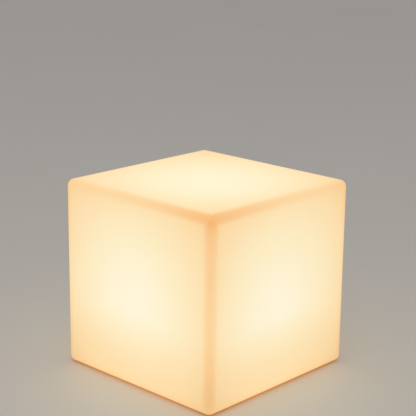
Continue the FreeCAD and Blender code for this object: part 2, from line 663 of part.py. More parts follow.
def port_flap():
    """The silicone flap over the port, its sealing lip and pull tab, and the anchor it hinges on."""
    low, top = "cover_face", "cover_face + flap_thick"
    port = ("port_x", "port_y")
    hinge_y = "port_y + flap_reach"
    knuckle = lying("flap_knuckle", "knuckle_radius", "flap_width", "port_x", hinge_y,
                    "cover_face + knuckle_radius")
    lip = cut("flap_lip", cylinder("lip_outside", "flap_lip_outer", f"{top} - flap_lip_root",
                                   f"{top} + flap_lip_height", *port),
              [cylinder("lip_inside", "flap_lip_inner", "0", "board_level", *port)])
    node("port_flap", fuse("port_flap", [
        cylinder("flap_disc", "flap_radius", low, top, *port),
        block("flap_strap", "flap_width", "flap_reach", low, top, "port_x", "port_y + flap_reach / 2"),
        cylinder("flap_tab", "pull_tab_radius", low, f"{low} + pull_tab_thick", "port_x",
                 "port_y - flap_radius - pull_tab_reach"),
        lip, knuckle,
    ]))
    inside = "cover_face + cover_thick"
    edge = f"{hinge_y} + knuckle_radius + knuckle_gap"
    length = "anchor_length - knuckle_gap"
    stem_y = "port_y + flap_reach + knuckle_radius + anchor_length / 2"
    pad = block("anchor_block", "flap_width", length, low, top, "port_x", f"{edge} + ({length}) / 2")

    def fold(edge_of_pad):
        box = edge_of_pad.BoundBox
        return abs(box.YMax - val(edge)) < NEAR and abs(box.ZMax - val(low)) < NEAR

    node("flap_anchor", fuse("flap_anchor", [
        fillet("anchor_pad", pad, "anchor_round", fold),
        cylinder("anchor_stem", "anchor_stem_radius", low, "seat_level", "port_x", stem_y),
        cylinder("anchor_barb", "anchor_stem_radius + anchor_barb", f"{inside} + slack",
                 f"{inside} + slack + anchor_barb_height", "port_x", stem_y),
    ]))


def jack():
    """The charging socket: its moulded body, centre pin, solder tabs and nose seal."""
    port = ("port_x", "port_y")
    bottom = "well_top + socket_depth"
    moulded = fuse("jack_solid", [
        cylinder("jack_nose", "nose_radius", "well_top", "jack_shoulder + past", *port),
        block("jack_block", "jack_side", "jack_side", "jack_shoulder", "board_level", *port)])
    node("charge_socket", cut("charge_socket", moulded, [
        cylinder("socket_bore", "socket_radius", "0", bottom, *port),
        cylinder("root_seat", "charge_root_radius + charge_root_gap", bottom,
                 f"{bottom} + charge_root_length + charge_root_gap", *port)]))
    mouth = "well_top + charge_pin_recess"
    rod = cylinder("charge_pin_rod", "charge_pin_radius", mouth, f"{bottom} + root", *port)

    def tip(edge):
        return abs(edge.BoundBox.ZMax - val(mouth)) < NEAR

    node("charge_pin", fuse("charge_pin", [
        fillet("charge_pin_tip", rod, "charge_pin_round", tip),
        cylinder("charge_pin_root", "charge_root_radius", bottom, f"{bottom} + charge_root_length",
                 *port)]))
    reach, tab_low = "jack_side / 2 + tab_length / 2", "board_level - tab_thick"
    level = (tab_low, "board_level")
    tabs = [
        block("socket_tab_left", "tab_length", "tab_width", *level, f"port_x - ({reach})", "port_y"),
        block("socket_tab_right", "tab_length", "tab_width", *level, f"port_x + {reach}", "port_y"),
        block("socket_tab_rear", "tab_width", "tab_length", *level, "port_x", f"port_y - ({reach})"),
    ]
    made = doc.addObject("Part::Compound", "socket_tabs")
    made.Links = tabs
    node("socket_tabs", made)
    near, far = "nose_radius + stop_gap", "nose_radius + stop_gap + seal_width"
    low, high = "port_boss_top + seal_gap", "jack_shoulder - seal_gap"
    seal = turned("socket_seal_ring", [(near, low), (far, low), (far, high), (near, high)])
    seal.Placement = at(val("port_x"), val("port_y"), 0)
    node("socket_seal", seal)


# ---- control board -------------------------------------------------------------------------------

def control_board():
    """The D-shaped board over the cover, with the parts that stand on it."""
    top = "board_level + board_thick"
    disc = cylinder("board_disc", "board_radius", "board_level", top)
    half = block("board_half", "2 * board_radius", "board_radius + board_edge", "board_level", top, "0",
                 "(board_edge - board_radius) / 2")
    shape = doc.addObject("Part::Common", "board_outline")
    shape.Base = disc
    shape.Tool = half
    posts = board_post_places()
    holes = [cylinder(f"board_hole_{i + 1}", "small_screw_radius + small_screw_gap", "0", "deck_level",
                      x, y)
             for i, (x, y) in enumerate(posts)]
    node("control_board", cut("control_board", shape, holes))

    small = screw("small_screw_template", "small")
    level = val(top)
    group("board_screws", small, [at(val(x), val(y), level) for x, y in posts])
    clamp_level = val("cover_face + cover_thick + clamp_post_height + clamp_thick")
    clamp_y = [val("cell_y") + side * val("clamp_screw_reach") for side in (-1, 1)]
    group("clamp_screws", small, [at(0, y, clamp_level) for y in clamp_y])
    led_level = val("deck_level + spreader_thick + led_board_thick")
    led_places = around("led_screw_circle", SCREWS_IN_MODULE, "led_screw_turn")
    group("led_board_screws", small, [at(x, y, led_level) for x, y in led_places])

    def standing(label, pieces):
        made = doc.addObject("Part::Compound", label)
        made.Links = pieces
        node(label, made)

    chip_top = f"{top} + chip_height"
    standing("controller_chips", [
        block("controller", "controller_length", "chip_width", top, chip_top, "controller_x", "chip_row_y"),
        block("led_driver", "chip_length", "chip_width", top, chip_top, "driver_x", "chip_row_y"),
        block("charger", "chip_length", "chip_width", top, chip_top, "charger_x", "charger_y")])
    coil = ("inductor_x", "inductor_y")
    node("inductor", fuse("inductor", [
        block("inductor_plate", "inductor_side", "inductor_side", top, f"{top} + inductor_base", *coil),
        cylinder("inductor_core", "inductor_radius", top, f"{top} + inductor_height", *coil)]))
    node("capacitor", cylinder("capacitor", "capacitor_radius", top, f"{top} + capacitor_height",
                               "capacitor_x", "capacitor_y"))
    passives = []
    for i in range(PASSIVES):
        x = f"passive_start_x + passive_step_x * {i % PASSIVES_IN_ROW}"
        y = f"passive_start_y - passive_step_y * {i // PASSIVES_IN_ROW}"
        passives.append(block(f"passive_{i + 1}", "passive_length", "passive_width", top,
                              f"{top} + passive_height", x, y))
    standing("board_passives", passives)
    standing("battery_connectors", [
        block(f"connector_{i + 1}", "connector_length", "connector_width", top,
              f"{top} + connector_height", x, "connector_y")
        for i, x in enumerate(("-connector_x", "connector_x"))])
    standing("status_led", [block("status_package", "status_length", "status_width",
                                  "board_level - status_height", "board_level", "0", "pipe_y")])
    seat, end = "cover_face + cover_thick + slack", "board_level - status_height - status_gap"
    pipe = turned("pipe_rod", [
        ("0", "cover_face - pipe_proud"), ("pipe_radius", "cover_face", "pipe_radius * 3"),
        ("pipe_radius", seat), ("pipe_radius + pipe_flange", seat),
        ("pipe_radius + pipe_flange", f"{seat} + pipe_flange_thick"),
        ("pipe_radius", f"{seat} + pipe_flange_thick"), ("pipe_radius", end), ("0", end)])
    pipe.Placement = at(0, val("pipe_y"), 0)
    node("light_pipe", pipe)


# ---- battery -------------------------------------------------------------------------------------

def battery():
    """One cylindrical lithium cell, its end tabs, the strap clamp over it and its two leads."""
    barrel = lying("cell_barrel", "cell_radius", "cell_length", "0", "cell_y", "cell_level")
    node("battery_cell", fillet("battery_cell", barrel, "cell_round", lambda edge: edge.Closed))
    reach = "(cell_length / 2 + slack + cell_tab_thick / 2)"
    tabs = doc.addObject("Part::Compound", "cell_tabs")
    tabs.Links = [
        block(f"cell_tab_{i + 1}", "cell_tab_thick", "cell_tab_width", "cell_level - cell_tab_height / 2",
              "cell_level + cell_tab_height / 2", x, "cell_y")
        for i, x in enumerate((reach, f"-{reach}"))]
    node("cell_tabs", tabs)

    foot = "cover_face + cover_thick + clamp_post_height"
    inner, outer = "cell_radius + cell_gap", "cell_radius + cell_gap + clamp_thick"
    ear, long = "clamp_screw_reach + post_radius", "clamp_width + 2 * past"
    arch = lying("arch_outside", outer, "clamp_width", "0", "cell_y", "cell_level")
    legs = block("clamp_legs", "clamp_width", f"2 * ({outer})", foot, "cell_level", "0", "cell_y")
    ears = block("clamp_ears", "clamp_width", f"2 * ({ear})", foot, f"{foot} + clamp_thick", "0", "cell_y")
    solid = fuse("clamp_solid", [arch, legs, ears])
    node("battery_clamp", cut("battery_clamp", solid, [
        lying("arch_inside", inner, long, "0", "cell_y", "cell_level"),
        block("legs_inside", long, f"2 * ({inner})", "0", "cell_level", "0", "cell_y"),
        *[cylinder(f"clamp_hole_{i + 1}", "small_screw_radius + small_screw_gap", "0", "cell_level", "0", y)
          for i, y in enumerate(("cell_y + clamp_screw_reach", "cell_y - clamp_screw_reach"))]]))

    near = val("cell_length / 2 + slack + cell_tab_thick")
    away, turn = near + val("lead_reach"), near + val("lead_turn")
    end = val("connector_x + connector_length / 2")
    low, high = val("cell_level"), val("board_level + board_thick + lead_rise")
    beside, back, plug = val("cell_y - lead_offset"), val("cell_y - lead_back"), val("connector_y")
    for label, side in (("battery_lead_red", 1), ("battery_lead_black", -1)):
        points = [Vector(side * near, beside, low), Vector(side * away, beside, low),
                  Vector(side * away, back, high), Vector(side * turn, plug, high),
                  Vector(side * end, plug, high)]
        made = doc.addObject("Part::Feature", label)
        made.Shape = tube_along(points, val("lead_radius"))
        node(label, made)


# ---- light module --------------------------------------------------------------------------------

def light_module():
    """The can over the electronics, and the lit end on its deck: spreader, board, LEDs and dome."""
    bore, hole = "housing_radius - housing_wall", "module_screw_radius + screw_gap"
    under = "deck_level - deck_thick"
    foot = "cover_face + cover_thick + slack"
    can = turned("housing_can", [
        ("wire_hole_radius", "deck_level"), ("wire_hole_radius", under), (bore, under), (bore, foot),
        ("housing_radius", foot), ("housing_radius", "deck_level - housing_bevel"),
        ("housing_radius - housing_bevel", "deck_level")])
    screw_place = on_circle("module_post_circle", 1, "module_screw_start")
    clearance = pocket(can, "deck_hole", "deck_level", "deck_thick + past", False,
                       rounds=[(hole, screw_place)])
    repeat_around(can, clearance, SCREWS_IN_MODULE)
    lit = "deck_level + spreader_thick + led_board_thick"
    led_screws = on_circle("led_screw_circle", SCREWS_IN_MODULE, "led_screw_turn")
    bosses = [cylinder(f"led_boss_{i + 1}", "post_radius", "led_boss_level", f"{under} + root", x, y)
              for i, (x, y) in enumerate(led_screws)]
    pilots = [cylinder(f"led_pilot_{i + 1}", "small_screw_radius + slack",
                       f"{lit} - small_screw_length - screw_gap", "deck_level + past", x, y)
              for i, (x, y) in enumerate(led_screws)]
    node("module_housing", cut("module_housing", fuse("housing_solid", [can, *bosses]), pilots))

    def disc(label, radius, low, high, extra=()):
        body = extruded(label + "_disc", low, high,
                        rounds=[(radius, [("0", "0")]), ("wire_hole_radius", [("0", "0")])])
        made = pocket(body, label + "_hole", high, f"({high}) - ({low}) + past", False,
                      rounds=[("small_screw_radius + small_screw_gap", led_screws[:1])])
        repeat_around(body, made, SCREWS_IN_MODULE)
        node(label, body)

    board = "deck_level + spreader_thick"
    disc("heat_spreader", "spreader_radius", "deck_level", board)
    disc("led_board", "led_board_radius", board, lit)

    def packages(label, count, circle, start):
        package = fuse(label + "_package", [
            block(label + "_base", "led_side", "led_side", "0", "led_frame_height"),
            cylinder(label + "_phosphor", "led_dot_radius", "0", "led_height")])
        spread = around(circle, count, start)
        group(label, package, [at(x, y, val(lit), math.degrees(math.atan2(y, x))) for x, y in spread])

    packages("warm_white_leds", WHITE_LEDS, "white_led_circle", "white_led_start")
    packages("colour_leds", COLOUR_LEDS, "colour_led_circle", "colour_led_start")
    place = ("led_screw_circle", "0")
    node("remote_receiver", fuse("remote_receiver", [
        block("receiver_block", "receiver_length", "receiver_width", lit, f"{lit} + receiver_height", *place),
        cylinder("receiver_eye", "receiver_eye_radius", lit, f"{lit} + receiver_eye_height", *place)]))
    near, out = val("led_lead_circle"), val("led_lead_reach")
    rise, drop = val(f"{lit} + led_lead_rise"), val("led_lead_drop")
    wire = doc.addObject("Part::Feature", "led_wire_template")
    path = [Vector(near, 0, val("board_level + board_thick")), Vector(near, 0, rise),
            Vector(out, 0, rise - drop)]
    wire.Shape = tube_along(path, val("led_lead_radius"))
    turns = [val("led_lead_start") + 360 / LED_LEADS * i for i in range(LED_LEADS)]
    group("led_leads", wire, [at(0, 0, 0, turn) for turn in turns])

    flange = "deck_level + dome_gasket_thick"
    ring = f"{flange} + dome_flange_thick"

    def ring_with_holes(label, inner, outer, low, high):
        body = extruded(label + "_ring", low, high, rounds=[(outer, [("0", "0")]), (inner, [("0", "0")])])
        made = pocket(body, label + "_hole", high, f"({high}) - ({low}) + past", False,
                      rounds=[(hole, screw_place)])
        repeat_around(body, made, SCREWS_IN_MODULE)
        node(label, body)

    ring_with_holes("dome_gasket", "dome_inner + dome_gasket_gap", "dome_flange_radius", "deck_level", flange)
    ring_with_holes("clamp_ring", "clamp_ring_inner", "clamp_ring_outer", ring,
                    f"{ring} + clamp_ring_thick")
    skin = "dome_inner + dome_wall"
    cap_in = "(dome_inner ^ 2 + dome_height ^ 2) / (2 * dome_height)"
    cap_out = f"(({skin}) ^ 2 + dome_height ^ 2) / (2 * dome_height)"
    dome = turned("dome_shape", [
        ("0", "dome_skirt_top + dome_height"),
        ("dome_inner", "dome_skirt_top", f"-({cap_in})"),
        ("dome_inner", flange), ("dome_flange_radius", flange), ("dome_flange_radius", ring),
        (skin, ring), (skin, "dome_skirt_top + dome_wall"),
        ("0", "dome_skirt_top + dome_height + dome_wall", cap_out)])
    made = pocket(dome, "dome_hole", ring, "dome_flange_thick + past", False,
                  rounds=[(hole, screw_place)])
    repeat_around(dome, made, SCREWS_IN_MODULE)
    node("dome_lens", dome)
    template = screw("module_screw_template", "module")
    level = val(f"{ring} + clamp_ring_thick")
    places = around("module_post_circle", SCREWS_IN_MODULE, "module_screw_start")
    group("module_screws", template, [at(x, y, level) for x, y in places])


def build():
    shell()
    inserts()
    feet()
    gasket()
    cover()
    cover_screws()
    power_button()
    button_seal()
    switch()
    port_flap()
    jack()
    control_board()
    battery()
    light_module()
    doc.recompute()


def write():
    failed = [thing.Name for thing in doc.Objects if {"Invalid", "Error"} & set(thing.State)]
    if failed:
        raise RuntimeError(f"these objects failed: {failed}")
    os.makedirs("parts", exist_ok=True)
    for label, made in sorted(nodes.items()):
        shape = made.Shape
        if shape.isNull() or not shape.isValid() or not shape.Solids:
            raise RuntimeError(f"{label} has no valid solid")
        shape.exportStep(f"parts/{label}.step")
        print(f"{label}: {len(shape.Solids)} solids, {shape.Volume:.1f} mm3")


build()
write()
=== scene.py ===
"""Looks for the floating cube light: materials, the shell's glow, floor, lights and camera."""
import json
import math

import bpy
from mathutils import Matrix, Vector


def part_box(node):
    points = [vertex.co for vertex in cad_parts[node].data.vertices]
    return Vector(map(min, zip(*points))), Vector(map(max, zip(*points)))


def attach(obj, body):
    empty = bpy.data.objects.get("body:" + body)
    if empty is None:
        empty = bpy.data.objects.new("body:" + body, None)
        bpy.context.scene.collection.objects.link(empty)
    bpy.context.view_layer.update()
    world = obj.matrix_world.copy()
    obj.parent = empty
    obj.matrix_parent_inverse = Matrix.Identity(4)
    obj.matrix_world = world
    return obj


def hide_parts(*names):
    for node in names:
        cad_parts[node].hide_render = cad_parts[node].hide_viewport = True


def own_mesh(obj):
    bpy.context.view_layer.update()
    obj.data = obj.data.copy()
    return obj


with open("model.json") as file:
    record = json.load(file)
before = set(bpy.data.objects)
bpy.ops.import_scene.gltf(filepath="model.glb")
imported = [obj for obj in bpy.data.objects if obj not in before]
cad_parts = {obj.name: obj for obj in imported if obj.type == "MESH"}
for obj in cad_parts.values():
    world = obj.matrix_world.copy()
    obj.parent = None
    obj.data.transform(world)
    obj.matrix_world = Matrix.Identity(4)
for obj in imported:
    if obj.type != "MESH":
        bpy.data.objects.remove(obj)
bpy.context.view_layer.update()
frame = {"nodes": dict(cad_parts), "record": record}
nodes = frame["nodes"]
scene = bpy.context.scene

shell_low, shell_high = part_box("diffuser_shell")
shell_middle = (shell_low + shell_high) / 2
shell_half = (shell_high - shell_low) / 2


# ---- the shell's glow: places and reaches in metres, levels and depths as shares ------------------

EDGE_ROUND = 0.007                # radius of the rounded edges
ROUND_SHARPNESS = 4.0             # how late one face's glow gives way to the next round an edge
TINY = 1e-6                       # keeps the sum of the faces' weights from being zero

# where the sides and the top are brightest, and how the glow falls off from there
BRIGHT_X, BRIGHT_Y, BRIGHT_LEVEL = -0.002, -0.009, 0.082
TOP_BRIGHT_X, TOP_BRIGHT_Y = 0.012, -0.013
GLOW_REACH = 0.117
FALL_POWER = -1.5                 # that of a small lamp's light across a flat wall
SIDE_SPREAD, TOP_SPREAD = 0.39, 0.26      # the share of the glow that falls off
DOWNWARD = 2.8                    # it falls off faster below, because the lamp shines up
PEAK = 0.74                       # the sides' highest level, before the clouds
TOP_SHARE, UNDERSIDE_SHARE = 0.87, 0.24   # what the top and the underside have of it

# the fades towards the edges: depth and reach
SIDE_FADE = (0.26, 0.038)
TOP_FADE = (0.26, 0.032)
FOOT_FADE = (0.19, 0.06)
FOOT_ROUND_FADE = (0.25, 0.0044)  # the further fall close to the foot

# painted shade: the darker bands along the edges. FAR is their depth far from the +X, -Y corner,
# which faces the camera, and NEAR on it
BAND_START, BAND_FULL = 0.012, 0.003      # distances from an edge between which a band deepens
UPRIGHT_FAR, UPRIGHT_NEAR = 0.15, 0.235
RIM_FAR, RIM_NEAR = 0.04, 0.385
CORNER_SHADE, CORNER_END = 0.22, 0.02      # what is added just below the top there, and how far down
FOOT_START, FOOT_END = 0.001, 0.014       # the upright bands end above the foot

# painted shade: a darker tint beside the upright edges, low down: how far it reaches from them, and
# up to where
FOOT_SHADE_TINT = (0.89, 0.94, 0.98)
FOOT_SHADE_REACH, FOOT_SHADE_TOP = 0.025, 0.065

# cloudiness of the moulded wall: features per metre, detail and depth, coarse and fine
CLOUD_COARSE = (14.0, 2.0, 0.05)
CLOUD_FINE = (90.0, 3.0, 0.014)
CLOUD_SHIFT = 3.0
CLOUD_FLOOR = 0.968

# a level of light, and its colour in display values from 0 to 255
RAMP = ((0.03, (104, 76, 54)), (0.12, (212, 150, 94)), (0.165, (246, 182, 111)),
        (0.37, (253, 219, 165)), (0.55, (254, 237, 195)), (0.75, (255, 249, 225)))
BRIGHTEST = RAMP[-1][0]

# the shell's own colour, in linear light, and its grain: features per metre and depth in metres
SHELL_DARK, SHELL_LIGHT = (0.33, 0.3, 0.25), (0.37, 0.34, 0.28)
SHELL_GRAIN, SHELL_GRAIN_DEPTH = 700.0, 0.00006

# what the studio's own light adds to the shell, in linear light. Below STUDIO_FULL, at the foot,
# little of it reaches
STUDIO_SHARE = (0.18, 0.155, 0.115)
STUDIO_FULL = 0.165
STUDIO_FADE_POWER = 3


# ---- node helpers --------------------------------------------------------------------------------

class Tree:
    """A material's node tree, with short calls for the nodes that this scene uses."""

    def __init__(self, name):
        self.material = bpy.data.materials.new(name)
        self.material.use_nodes = True
        self.tree = self.material.node_tree
        self.shader = self.tree.nodes["Principled BSDF"]
        self.place = self.add("ShaderNodeTexCoord").outputs["Object"]

    def add(self, kind, **settings):
        made = self.tree.nodes.new(kind)
        for key, value in settings.items():
            setattr(made, key, value)
        return made

    def put(self, value, socket):
        """Sets a socket to a constant, or links it to another node's output."""
        if isinstance(value, bpy.types.NodeSocket):
            self.tree.links.new(value, socket)
        else:
            socket.default_value = value

    def math(self, operation, *values):
        made = self.add("ShaderNodeMath", operation=operation)
        for value, socket in zip(values, made.inputs):
            self.put(value, socket)
        return made.outputs[0]

    def sum(self, *values):
        total = values[0]
        for value in values[1:]:
            total = self.math("ADD", total, value)
        return total

    def product(self, *values):
        total = values[0]
        for value in values[1:]:
            total = self.math("MULTIPLY", total, value)
        return total

    def range(self, value, low, high, to_low=0.0, to_high=1.0, kind="SMOOTHSTEP"):
        made = self.add("ShaderNodeMapRange", interpolation_type=kind)
        for key, given in (("Value", value), ("From Min", low), ("From Max", high),
                           ("To Min", to_low), ("To Max", to_high)):
            self.put(given, made.inputs[key])
        return made.outputs["Result"]

    def axes(self):
        split = self.add("ShaderNodeSeparateXYZ")
        self.put(self.place, split.inputs[0])
        return split.outputs

    def stretched(self, stretch, shift=0.0):
        """The object's own space, stretched, and shifted so that two noises don't line up."""
        mapping = self.add("ShaderNodeMapping")
        mapping.inputs["Scale"].default_value = stretch
        mapping.inputs["Location"].default_value = (shift, shift * 0.7, shift * 1.3)
        self.put(self.place, mapping.inputs["Vector"])
        return mapping.outputs["Vector"]

    def noise(self, scale, detail=2.0, stretch=(1, 1, 1), shift=0.0):
        """Smooth noise over the object's own space. scale is features per metre."""
        made = self.add("ShaderNodeTexNoise")
        made.inputs["Scale"].default_value = scale
        made.inputs["Detail"].default_value = detail
        self.put(self.stretched(stretch, shift), made.inputs["Vector"])
        return made.outputs["Fac"]

    def cells(self, scale, **settings):
        """The distance to the nearest of scattered points. scale is points per metre."""
        made = self.add("ShaderNodeTexVoronoi", **settings)
        made.inputs["Scale"].default_value = scale
        self.put(self.place, made.inputs["Vector"])
        return made.outputs["Distance"]

    def ramp(self, value, stops):
        """A colour ramp. Stops are (position, linear colour)."""
        made = self.add("ShaderNodeValToRGB")
        made.color_ramp.interpolation = "LINEAR"
        elements = made.color_ramp.elements
        while len(elements) < len(stops):
            elements.new(1.0)
        for element, (position, colour) in zip(elements, stops):
            element.position = position
            element.color = (*colour, 1)
        self.put(value, made.inputs["Fac"])
        return made.outputs["Color"]

    def mix(self, share, first, second, blend="MIX"):
        """Mixes two colours, which are a Mix node's inputs 6 and 7, and its output 2."""
        made = self.add("ShaderNodeMix", data_type="RGBA", blend_type=blend)
        for value, socket in zip((share, first, second),
                                 (made.inputs[0], made.inputs[6], made.inputs[7])):
            if isinstance(value, tuple):
                value = (*value, 1)
            self.put(value, socket)
        return made.outputs[2]

    def bump(self, height, depth, strength=1.0):
        """A bump of a real depth, in metres."""
        made = self.add("ShaderNodeBump")
        made.inputs["Strength"].default_value = strength
        made.inputs["Distance"].default_value = depth
        self.put(height, made.inputs["Height"])
        self.put(made.outputs["Normal"], self.shader.inputs["Normal"])

    def set(self, **values):
        """Sets the shader's sockets. An underscore in a name stands for a space."""
        for key, value in values.items():
            if isinstance(value, tuple):
                value = (*value, 1)
            self.put(value, self.shader.inputs[key.replace("_", " ")])
        return self


def linear(*display):
    """A colour given in display values from 0 to 255, as linear light."""
    shares = [value / 255 for value in display]
    return tuple(s / 12.92 if s <= 0.04045 else ((s + 0.055) / 1.055) ** 2.4 for s in shares)


def shade(colour, factor):
    return tuple(min(1.0, channel * factor) for channel in colour)


# ---- the glowing shell ---------------------------------------------------------------------------

def shell_glow(t):
    """The shell's level of light from where a point is on the cube, and the painted shade beside its
    upright edges near the foot. Each face is brightest near its middle and falls off to its edges,
    where the light crosses more of the wall. Darker bands of painted shade run along the edges."""
    x, y, z = t.axes()
    half, top, bottom = shell_half.x, shell_high.z, shell_low.z

    # how far each axis is round the corner, which is the outward direction on the rounded edges
    turns = []
    for value, middle, size in ((x, 0.0, half), (y, 0.0, half), (z, shell_middle.z, shell_half.z)):
        out = t.math("ABSOLUTE", t.math("SUBTRACT", value, middle))
        past = t.math("MAXIMUM", t.math("SUBTRACT", out, size - EDGE_ROUND), 0.0)
        turns.append(t.math("DIVIDE", past, EDGE_ROUND))
    weights = [t.math("POWER", turn, ROUND_SHARPNESS) for turn in turns]
    whole = t.sum(*weights, TINY)

    # distance from each edge, and the broad fall towards it
    def towards(distance, fade):
        depth, reach = fade
        gone = t.math("EXPONENT", t.math("DIVIDE", distance, -reach))
        return t.math("SUBTRACT", 1.0, t.math("MULTIPLY", gone, depth))

    edge_x = t.math("SUBTRACT", half, t.math("ABSOLUTE", x))
    edge_y = t.math("SUBTRACT", half, t.math("ABSOLUTE", y))
    edge_top = t.math("SUBTRACT", top, z)
    edge_bottom = t.math("SUBTRACT", z, bottom)

    def fall(first, second, spread):
        square = t.sum(t.math("POWER", first, 2.0), t.math("POWER", second, 2.0))
        near = t.math("POWER", t.sum(t.math("DIVIDE", square, GLOW_REACH ** 2), 1.0), FALL_POWER)
        return t.math("SUBTRACT", 1.0, t.product(t.math("SUBTRACT", 1.0, near), spread))

    lift = t.math("SUBTRACT", z, BRIGHT_LEVEL)
    lift = t.math("MAXIMUM", lift, t.math("MULTIPLY", lift, -DOWNWARD))
    along_x, along_y = t.math("SUBTRACT", x, BRIGHT_X), t.math("SUBTRACT", y, BRIGHT_Y)
    ends = t.product(towards(edge_top, SIDE_FADE), towards(edge_bottom, FOOT_FADE),
                     towards(edge_bottom, FOOT_ROUND_FADE))
    on_x = t.product(fall(along_y, lift, SIDE_SPREAD), towards(edge_y, SIDE_FADE), ends)
    on_y = t.product(fall(along_x, lift, SIDE_SPREAD), towards(edge_x, SIDE_FADE), ends)
    upward = t.range(z, bottom, top, UNDERSIDE_SHARE, TOP_SHARE, "LINEAR")
    level_x = t.math("SUBTRACT", x, TOP_BRIGHT_X)
    level_y = t.math("SUBTRACT", y, TOP_BRIGHT_Y)
    on_z = t.product(fall(level_x, level_y, TOP_SPREAD), towards(edge_x, TOP_FADE),
                     towards(edge_y, TOP_FADE), upward)
    level = t.math("DIVIDE", t.sum(*(t.product(w, f) for w, f in zip(weights, (on_x, on_y, on_z)))),
                   whole)

    # painted shade: a darker band along each upright edge and round the top, deepest at the +X, -Y
    # corner, which faces the camera
    def band(first, second):
        return t.range(t.math("MAXIMUM", first, second), BAND_FULL, BAND_START, 1.0, 0.0)

    foot = t.range(z, bottom + FOOT_START, bottom + FOOT_END)
    beside = t.math("MAXIMUM", edge_x, edge_y)
    upright = t.product(band(edge_x, edge_y), foot)
    rim = t.math("MAXIMUM", band(edge_x, edge_top), band(edge_y, edge_top))
    nearness = t.range(t.math("SUBTRACT", x, y), 0.0, 2 * half, 0.0, 1.0, "LINEAR")
    rim_painted_shade = t.product(rim, t.range(nearness, 0.0, 1.0, RIM_FAR, RIM_NEAR, "LINEAR"))
    corner = t.product(nearness, t.range(edge_top, BAND_FULL, CORNER_END, CORNER_SHADE, 0.0))
    upright_shade_depth = t.sum(t.range(nearness, 0.0, 1.0, UPRIGHT_FAR, UPRIGHT_NEAR, "LINEAR"), corner)
    # painted shade: the deeper of the upright and the rim bands darkens the level below
    painted_shade = t.math("MAXIMUM", t.product(upright, upright_shade_depth), rim_painted_shade)
    level = t.product(level, t.math("SUBTRACT", 1.0, painted_shade), PEAK)

    # cloudiness of the moulded wall
    scale, detail, depth = CLOUD_COARSE
    coarse = t.product(t.noise(scale, detail), depth)
    scale, detail, depth = CLOUD_FINE
    cloud = t.sum(coarse, t.product(t.noise(scale, detail, shift=CLOUD_SHIFT), depth))
    # painted shade: a darker tint beside the upright edges, fading out above the foot
    foot_shade = t.product(t.math("EXPONENT", t.math("DIVIDE", beside, -FOOT_SHADE_REACH)),
                    t.range(z, bottom, FOOT_SHADE_TOP, 1.0, 0.0))
    return t.product(level, t.sum(cloud, CLOUD_FLOOR)), foot_shade


def shell_material():
    """Translucent polyethylene, lit from inside. The ramp gives a level of light its colour, less
    what the studio's light adds."""
    t = Tree("shell_polyethylene")
    stops = []
    for level, colour in RAMP:
        reached = min(1.0, (level / STUDIO_FULL) ** STUDIO_FADE_POWER)
        glow = tuple(max(0.0, own - added * reached)
                     for own, added in zip(linear(*colour), STUDIO_SHARE))
        stops.append((level / BRIGHTEST, glow))
    level, foot_shade = shell_glow(t)
    glow = t.ramp(t.math("DIVIDE", level, BRIGHTEST), stops)
    # painted shade: the glow is darkened beside the upright edges near the foot
    glow = t.mix(foot_shade, glow, FOOT_SHADE_TINT, "MULTIPLY")
    grain = t.noise(SHELL_GRAIN, 3.0)
    base = t.mix(t.noise(40.0, 2.0, shift=1.0), SHELL_DARK, SHELL_LIGHT)
    t.set(Base_Color=base, Roughness=0.5, Specular_IOR_Level=0.35, IOR=1.51,
          Emission_Color=glow, Emission_Strength=1.0)
    t.bump(grain, SHELL_GRAIN_DEPTH, 0.6)
    return t.material


# ---- plastics, silicone and metals ---------------------------------------------------------------

def plastic(name, colour, roughness=0.5, grain=900.0, depth=0.00003):
    """Moulded plastic: an even colour with faint flow marks, and a spark-eroded grain."""
    t = Tree(name)
    flow = t.noise(55.0, 3.0, (1, 1, 0.4))
    t.set(Base_Color=t.mix(flow, shade(colour, 0.9), shade(colour, 1.06)),
          Roughness=t.range(t.noise(260.0, 2.0, shift=2.0), 0.3, 0.7, roughness - 0.06,
                            roughness + 0.08, "LINEAR"),
          IOR=1.53)
    t.bump(t.noise(grain, 3.0), depth, 0.7)
    return t.material


def silicone(name, colour, clear=0.0):
    """Silicone rubber: soft, matt, with dust in its surface and a little sheen."""
    t = Tree(name)
    dust = t.range(t.noise(420.0, 4.0), 0.52, 0.75)
    t.set(Base_Color=t.mix(t.product(dust, 0.35), colour, shade(colour, 1.35)),
          Roughness=t.range(dust, 0.0, 1.0, 0.62, 0.78, "LINEAR"), IOR=1.41,
          Sheen_Weight=0.25, Sheen_Roughness=0.5, Transmission_Weight=clear)
    t.bump(t.noise(1100.0, 2.0), 0.00002, 0.6)
    return t.material


TOOL_MARKS = 900.0                # per metre


def metal(name, colour, roughness=0.3, stretch=(1, 1, 1)):
    """Metal with fine tool marks along one direction, and a faint stain."""
    t = Tree(name)
    marks = t.noise(TOOL_MARKS, 3.0, stretch)
    stain = t.noise(120.0, 3.0, shift=4.0)
    t.set(Base_Color=t.mix(stain, shade(colour, 0.82), shade(colour, 1.05)), Metallic=1.0,
          Roughness=t.range(marks, 0.3, 0.7, roughness - 0.07, roughness + 0.1, "LINEAR"))
    t.bump(marks, 0.00001, 0.5)
    return t.material


def circuit_board(name, mask, copper, contrast):
    """Solder mask over copper tracks: square tracks show through it as a lighter, raised pattern."""
    t = Tree(name)
    track = t.cells(230.0, distance="CHEBYCHEV")
    raised = t.range(track, 0.36, 0.44)
    pads = t.range(t.cells(520.0, distance="CHEBYCHEV"), 0.12, 0.09)
    covered = t.mix(raised, mask, shade(mask, contrast))
    t.set(Base_Color=t.mix(t.product(pads, 0.8), covered, copper), Roughness=0.34, IOR=1.5,
          Coat_Weight=0.3, Coat_Roughness=0.2)
    t.bump(raised, 0.00003, 0.8)
    return t.material


DOT_START, DOT_FULL = 0.74, 0.8    # the dot stands above this share of a package's height


